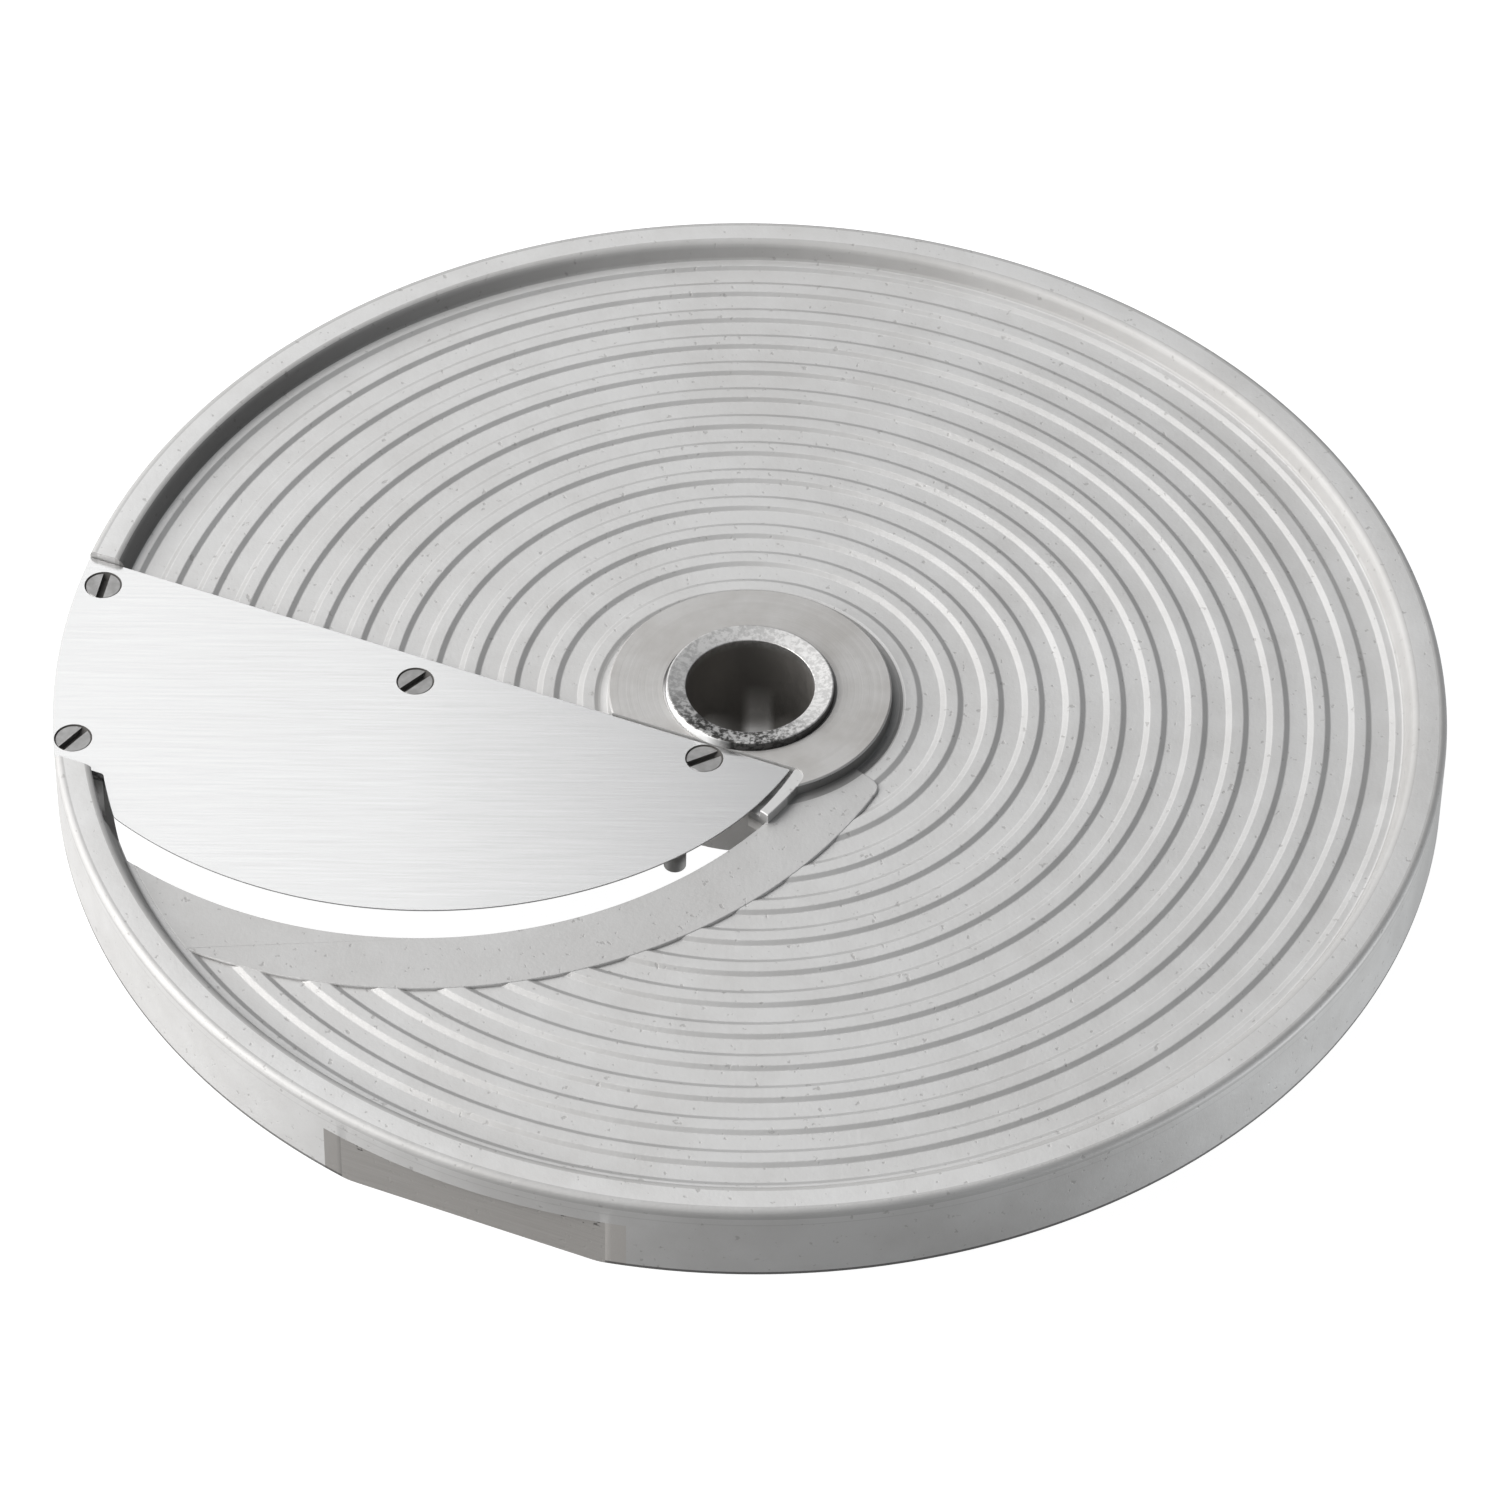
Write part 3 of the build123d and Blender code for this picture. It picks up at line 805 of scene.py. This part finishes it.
def ribFlanks(f):
    # 1 at both edges of every rib, found from how far into its rib pitch a place lies
    pitch, lead = disc["ribPitch"], castAreas["flankLead"]
    turns = (f.radius() / metre - (disc["firstRib"] - lead)) / pitch
    phase = f.node("ShaderNodeMath", {"operation": "FRACT"}, {0: turns})
    full, faded = castAreas["flankWidths"]
    stops = []
    for edge in (lead / pitch, (lead + disc["ribWidth"]) / pitch):
        stops += [(edge - faded, 0.0), (edge - full, 1.0), (edge + full, 1.0), (edge + faded, 0.0)]
    return f.ramp(phase, stops)


def castMasks(f):
    # where the casting's colour changes, in the order the tints are laid on
    x, y, z = f.axes()
    radius = f.radius()
    area = castAreas
    lipTop = (z > area["lipAbove"]) * (radius < area["lipWithin"])
    # the boss's foot is darker on its right side, away from the key light: painted shade
    shadedFootSide = f.ramp(f.facing(area["bossShadeWay"]) * 0.5 + 0.5, area["bossShadeFade"])
    # the rim's inner wall is darker on the left, where it faces away from the key light: painted shade
    shadedWallSide = f.ramp(f.facing(area["wallWay"]) * 0.5 + 0.5, area["wallFade"])
    # the flat's finish runs on over the curved wall at both ends; the left end is darker, painted shade where it is
    # lit more, and the right end lighter, painted light where it is lit less
    milled = (f.along(flat["direction"]) > area["milledFrom"]) * (radius > area["milledOutside"])
    milled = milled * (z < area["milledBelow"])
    nearHub = radius < area["windowWithin"]
    sides = area["fingerSides"]
    return {
        # darker below the rim's top, less so on the lip's top
        "low": (z < area["lowBelow"]) * (1 - lipTop * area["lipShare"]),
        # painted shade on the right of the boss's foot
        "bossFoot": radius.between(*area["bossFoot"]) * (z < area["bossBelow"]) * shadedFootSide,
        # the rim's inner and outer roundings are rougher, and darkened to dim their highlights: painted shade
        "innerEdge": radius.between(*area["innerEdge"]) * (z > area["innerEdgeAbove"]),
        "outerEdge": (radius > area["outerEdge"]) * (z > area["outerEdgeAbove"]),
        # flat ends: painted shade on the left, painted light on the right
        "flatLeft": milled * (x < area["flatMiddle"]),
        "flatRight": milled * (x > area["flatMiddle"]),
        # the ribs' flanks darkened to dim their highlights: painted shade
        "flanks": ribFlanks(f) * radius.between(*area["ribs"]) * z.between(*area["ribHeights"]),
        # painted shade on the left of the rim's inner wall
        "wall": radius.between(*area["wall"]) * (z > area["wallAbove"]) * shadedWallSide,
        # the landing's top a little darker
        "landing": z.between(*area["landing"]),
        # a dark line along the rim's bottom edge: painted shade
        "lowEdge": (z < area["lowEdgeBelow"]) * (radius > area["lowEdgeOutside"]),
        # the slot's shaded end wall by the hub made lighter: painted light
        "slotWall": (x > sides[1]) * (y < area["slotWallBefore"]) * nearHub * (z < area["slotWallBelow"]),
        # the seat finger under the blade darkened: painted shade
        "finger": x.between(*sides) * (y < area["fingerBefore"]) * nearHub * (z < area["fingerBelow"])}


def castAluminium():
    f = Finish("castAluminium")
    look = castLook
    patches, grain, blots = f.noise(*look["patches"]), f.noise(*look["grain"]), f.noise(*look["blots"])
    dark = f.ramp(patches * 0.65 + blots * 0.35, look["darkFade"])
    pits = f.ramp(f.noise(*look["pits"]), look["pitFade"])
    masks = {"pits": pits, **castMasks(f)}
    colour = f.mixed(dark * look["darkShare"], look["light"], look["dark"])
    for name, mask in masks.items():
        colour = f.tinted(mask, colour, castStainsAndPaintedLight[name])
    roughness = patches * look["spread"] + look["roughness"] + masks["innerEdge"] * look["innerEdgeSpread"]
    f.set(Base_Color=colour, Metallic=look["metallic"],
          Roughness=roughness + masks["outerEdge"] * look["outerEdgeSpread"])
    f.set(Normal=f.bump(grain * 0.6 + blots * 0.8 - pits * 0.6, *look["bump"]))
    return f.material


flangeLook = {"light": grey(0.44, 0.02), "dark": grey(0.37, 0.035), "metallic": 0.5, "roughness": 0.33,
              "marks": (2600, 3, 0.6), "patches": (120, 4, 0.6), "patchFade": ((0.35, 1.0), (0.62, 0.0)),
              "ringRadius": 0.0178, "ringWidth": 0.0003, "ring": (0.25, grey(0.36, 0.03)),
              "mouthRadius": 0.01286, "mouth": (0.8, grey(0.05, 0.03)), "spread": 0.15, "bump": (0.25, 0.00008)}


def turnedFlange():
    f = Finish("turnedFlange")
    look = flangeLook
    radius = f.radius()
    # the turning marks run round the axis
    marks = f.noise(*look["marks"], f.node("ShaderNodeCombineXYZ", {}, {"X": radius, "Y": f.axes()[2]}))
    patches = f.noise(*look["patches"])
    ring = f.node("ShaderNodeMath", {"operation": "ABSOLUTE"}, {0: radius - look["ringRadius"]}) < look["ringWidth"]
    colour = f.mixed(f.ramp(patches, look["patchFade"]), look["light"], look["dark"])
    colour = f.tinted(ring, colour, look["ring"])
    # the chamfer round the bush is darkened: painted shade in the crease between flange and bush
    colour = f.tinted(radius < look["mouthRadius"], colour, look["mouth"])
    f.set(Base_Color=colour, Metallic=look["metallic"], Roughness=marks * look["spread"] + look["roughness"])
    f.set(Normal=f.bump(marks + patches * 0.5, *look["bump"]))
    return f.material


flatLook = {"light": grey(0.47, 0.03), "dark": grey(0.34, 0.05), "metallic": 0.55, "roughness": 0.42,
            "marks": (3, 4, 0.6), "stretch": (30, 30, 900), "pits": (1100, 2, 0.5),
            "pitFade": ((0.3, 1.0), (0.38, 0.0)), "pitsAbove": 0.0139, "pit": (0.8, grey(0.05, 0.05)),
            "bump": (0.3, 0.0001)}


def milledFlat():
    f = Finish("milledFlat")
    look = flatLook
    marks = f.noise(*look["marks"], f.stretched(look["stretch"]))
    pits = f.ramp(f.noise(*look["pits"]), look["pitFade"])
    colour = f.mixed(marks, look["light"], look["dark"])
    colour = f.tinted(pits * (f.axes()[2] > look["pitsAbove"]), colour, look["pit"])
    f.set(Base_Color=colour, Metallic=look["metallic"], Roughness=look["roughness"])
    f.set(Normal=f.bump(marks - pits, *look["bump"]))
    return f.material


bladeLook = {"light": grey(0.54), "dark": grey(0.48, 0.004), "metallic": 0.8, "roughness": 0.17,
             "grain": (1, 4, 0.65), "grainStretch": (60, 2600, 60), "streaks": (1, 3, 0.6),
             "streakStretch": (14, 420, 14), "stains": (70, 4, 0.6), "rightwardShadeLength": 0.05, "tip": (0.25, grey(0.25)),
             "spread": 0.12, "bump": (0.12, 0.00004)}


def brushedBlade():
    f = Finish("brushedBlade")
    look = bladeLook
    # grain and streaks run along the back edge
    turn = (0.0, 0.0, -backTurn)
    grain = f.noise(*look["grain"], f.stretched(look["grainStretch"], turn))
    streaks = f.noise(*look["streaks"], f.stretched(look["streakStretch"], turn))
    stains = f.noise(*look["stains"])
    # darker towards the right, near the hub and tip: painted shade
    rightwardShade = f.ramp((f.axes()[0] + look["rightwardShadeLength"]) / look["rightwardShadeLength"], ((0.0, 0.0), (1.0, 1.0)))
    colour = f.mixed(grain * 0.5 + streaks * 0.3 + stains * 0.2, look["light"], look["dark"])
    colour = f.tinted(rightwardShade, colour, look["tip"])
    f.set(Base_Color=colour, Metallic=look["metallic"], Roughness=grain * look["spread"] + look["roughness"])
    f.set(Normal=f.bump(grain + streaks * 0.5, *look["bump"]))
    return f.material


bushLook = {"light": grey(0.58, 0.012), "dark": grey(0.05, 0.04), "metallic": 0.75, "roughness": 0.33,
            "scratches": (420, 5, 0.68), "fine": (2200, 3, 0.6), "speckle": (1300, 3, 0.7),
            "wornFade": ((0.45, 1.0), (0.55, 0.0)), "wornShare": 0.3, "shadedSideWay": -106.0,
            "shadedSideFade": ((0.68, 0.0), (0.95, 1.0)), "boreRadius": 0.00953, "boreDepth": 0.02,
            "boreFade": ((0.9, 1.0), (0.99, 0.0)), "wallRadius": 0.01232, "wallWay": -146.0,
            "wallFade": ((0.72, 0.0), (0.9, 1.0)), "wallPaintedShade": (0.8, grey(0.05, 0.03)),
            "wallPaintedHighlight": (1.0, grey(0.95)), "bore": (1.0, grey(0.3, 0.05)),
            "paintedReflection": (-0.0014, 0.0038), "paintedReflectionFade": ((0.0, 0.0), (0.3, 1.0), (0.8, 0.8), (1.0, 0.0)),
            "paintedReflectionBelow": 0.0105, "paintedReflectionEnd": ((0.1, 1.0), (1.0, 0.0)), "paintedReflectionColour": (1.0, grey(0.95, 0.01)),
            "spread": 0.3, "paintedReflectionSpread": 0.2, "paintedReflectionMetallic": -0.85, "wallMetallic": -0.6, "boreMetallic": 0.17,
            "bump": (0.4, 0.0001)}


def wornBushWithPaintedLight():
    f = Finish("wornBushWithPaintedLight")
    look = bushLook
    x, y, z = f.axes()
    radius = f.radius()
    scratches, fine, speckle = f.noise(*look["scratches"]), f.noise(*look["fine"]), f.noise(*look["speckle"])
    inside, outside = radius < look["boreRadius"], radius > look["wallRadius"]
    # the end face is speckled all round by wear, and darker on its front side: painted shade, mottled by the wear
    worn = f.ramp(scratches * 0.4 + speckle * 0.6, look["wornFade"])
    shadedSide = f.ramp(f.facing(look["shadedSideWay"]) * 0.5 + 0.5, look["shadedSideFade"])
    colour = f.mixed(worn * look["wornShare"], look["light"], look["dark"])
    colour = f.mixed(shadedSide * (worn * 0.85 + 0.15), colour, look["dark"])
    # the outer wall is lighter on its left front, a painted highlight, and darker elsewhere, painted shade
    highlightSide = f.ramp(f.facing(look["wallWay"]), look["wallFade"])
    colour = f.tinted(outside * (1 - highlightSide), colour, look["wallPaintedShade"])
    colour = f.tinted(outside * highlightSide, colour, look["wallPaintedHighlight"])
    # the bore is darker deep down: painted shade
    boreShade = f.ramp(z / look["boreDepth"], look["boreFade"])
    colour = f.tinted(inside * boreShade, colour, look["bore"])
    # a pale stripe low in the bore: painted reflection of light from below
    left, right = look["paintedReflection"]
    across = f.ramp((x - left) / (right - left), look["paintedReflectionFade"])
    paintedReflection = inside * across * f.ramp(z / look["paintedReflectionBelow"], look["paintedReflectionEnd"]) * (y > 0)
    colour = f.tinted(paintedReflection, colour, look["paintedReflectionColour"])
    metallic = paintedReflection * look["paintedReflectionMetallic"] + outside * highlightSide * look["wallMetallic"]
    f.set(Base_Color=colour, Metallic=metallic + inside * look["boreMetallic"] + look["metallic"],
          Roughness=scratches * look["spread"] + look["roughness"] + paintedReflection * look["paintedReflectionSpread"])
    f.set(Normal=f.bump(scratches + fine * 0.3, *look["bump"]))
    return f.material


screwLook = {"light": grey(0.34, 0.01), "dark": grey(0.18, 0.02), "metallic": 0.85, "roughness": 0.28,
             "marks": (900, 4, 0.6), "spread": 0.2, "bump": (0.3, 0.00006)}


def screwSteel():
    f = Finish("screwSteel")
    marks = f.noise(*screwLook["marks"])
    f.set(Base_Color=f.mixed(marks, screwLook["light"], screwLook["dark"]), Metallic=screwLook["metallic"],
          Roughness=marks * screwLook["spread"] + screwLook["roughness"])
    f.set(Normal=f.bump(marks, *screwLook["bump"]))
    return f.material


slotShadeLook = {"dark": grey(0.03, 0.05), "light": grey(0.07, 0.08), "metallic": 0.2, "roughness": 0.7,
            "noise": (1500, 3)}


# near-black finish for screw slots and countersinks: painted shade
def paintedSlotShade():
    f = Finish("paintedSlotShade")
    f.set(Base_Color=f.mixed(f.noise(*slotShadeLook["noise"]), slotShadeLook["dark"], slotShadeLook["light"]),
          Metallic=slotShadeLook["metallic"], Roughness=slotShadeLook["roughness"])
    return f.material


paperLook = {"dark": grey(0.24), "light": grey(0.26), "roughness": 0.9, "tone": (3, 2, 0.5), "glow": 0.95}


def palePaper():
    f = Finish("palePaper")
    f.set(Base_Color=f.mixed(f.noise(*paperLook["tone"]), paperLook["dark"], paperLook["light"]),
          Roughness=paperLook["roughness"])
    f.set(Emission_Color=grey(1), Emission_Strength=paperLook["glow"])
    return f.material


# ---- assembly ----

bodyMaterials = (castAluminium(), turnedFlange(), milledFlat())
slotShade = paintedSlotShade()
flatWay = Vector((*polar((0, 0), 1, flat["direction"]), 0))
faceLimits = {"flangeWithin": 21.3, "flangeAbove": 12.3, "flangeRise": 0.3, "flatNear": 0.05, "flatFacing": 0.999,
              "slotLevel": 0.9, "slotUpright": 0.1, "slotBelow": 0.1, "slotSpare": 0.01, "sinkBelow": 0.05}


def screwFinish(centre, normal):
    # level and upright faces just below the head's top are the slot's, which get the near-black slot finish:
    # painted shade
    top = blade["top"] - (screws["sink"] - screws["head"])
    inSlot = top - screws["slotDepth"] - faceLimits["slotSpare"] < centre.z < top - faceLimits["slotBelow"]
    facing = normal.z > faceLimits["slotLevel"] or abs(normal.z) < faceLimits["slotUpright"]
    return 1 if inSlot and facing else 0


def bladeFinish(centre, normal):
    # the countersinks get the near-black slot finish: painted shade
    near = min(math.dist(centre[:2], place) for place in screwPlaces())
    return 1 if near < screws["sink"] and centre.z < blade["top"] - faceLimits["sinkBelow"] else 0


def bodyFinish(centre, normal):
    # the boss's turned top and the milled flat
    near = math.hypot(centre.x, centre.y) < faceLimits["flangeWithin"]
    if near and centre.z > faceLimits["flangeAbove"] and normal.z > faceLimits["flangeRise"]:
        return 1
    apart = abs(centre.dot(flatWay) - flat["distance"])
    return 2 if apart < faceLimits["flatNear"] and abs(normal.dot(flatWay)) > faceLimits["flatFacing"] else 0


discPieces = [
    finishPiece(bodyPiece(), "discBody", "disc_body", bodyMaterials, bodyFinish),
    finishPiece(bladePiece(), "slicingBlade", "slicing_blade", (brushedBlade(), slotShade), bladeFinish),
    finishPiece(bushPiece(), "hubBush", "hub_bush", (wornBushWithPaintedLight(),)),
    finishPiece(screwPiece(), "bladeScrews", "blade_screws", (screwSteel(), slotShade), screwFinish)]

# ---- studio ----

studio = {"floorSize": 6.0, "world": (0.94, 0.97, 1.0), "worldStrength": 0.28,
          "key": {"azimuth": 188, "elevation": 32, "distance": 2.2, "size": (2.0, 2.0), "power": 74.0,
                  "colour": (1.0, 0.99, 0.975)},
          "back": {"azimuth": 129, "elevation": 45, "distance": 2.0, "size": (1.95, 1.95), "power": 21.0,
                   "colour": (1.0, 1.0, 1.0)},
          "lowLeft": {"azimuth": 188, "elevation": -14, "distance": 1.2, "size": (0.7, 0.3), "power": 7.6,
                      "colour": (1.0, 1.0, 1.0)},
          "lowRight": {"azimuth": -9, "elevation": -14, "distance": 1.2, "size": (0.8, 0.3), "power": 10.0,
                       "colour": (0.97, 0.99, 1.0)}}


def addLight(name):
    look = studio[name]
    data = bpy.data.lights.new(name, "AREA")
    data.shape = "RECTANGLE"
    data.size, data.size_y = look["size"]
    data.energy = look["power"]
    data.color = look["colour"]
    light = bpy.data.objects.new(name, data)
    turn, lift = math.radians(look["azimuth"]), math.radians(look["elevation"])
    away = Vector((math.cos(turn) * math.cos(lift), math.sin(turn) * math.cos(lift), math.sin(lift)))
    light.location = away * look["distance"]
    light.rotation_euler = away.to_track_quat("Z", "Y").to_euler()
    light.visible_camera = False
    bpy.context.scene.collection.objects.link(light)
    return light


def addStudio(pieces):
    half = studio["floorSize"] / 2
    corners = [(-half, -half, 0), (half, -half, 0), (half, half, 0), (-half, half, 0)]
    floor = newPiece("floor", corners, [(0, 1, 2, 3)])
    floor.data.materials.append(palePaper())
    # the lit floor shows white, but its glow stays off the disc
    onlyFloor = bpy.data.collections.new("onlyFloor")
    onlyFloor.objects.link(floor)
    floor.light_linking.receiver_collection = onlyFloor
    world = bpy.data.worlds.new("studio")
    bpy.context.scene.world = world
    world.use_nodes = True
    world.node_tree.nodes["Background"].inputs["Color"].default_value = (*studio["world"], 1)
    world.node_tree.nodes["Background"].inputs["Strength"].default_value = studio["worldStrength"]
    for name in ("key", "back"):
        addLight(name)
    # the low lamps stand under the floor, which doesn't shade them
    shading = bpy.data.collections.new("shading")
    for piece in pieces:
        shading.objects.link(piece)
    for name in ("lowLeft", "lowRight"):
        addLight(name).light_linking.blocker_collection = shading
    bpy.context.scene.view_settings.view_transform = "Standard"


addStudio(discPieces)
print("studio lit")
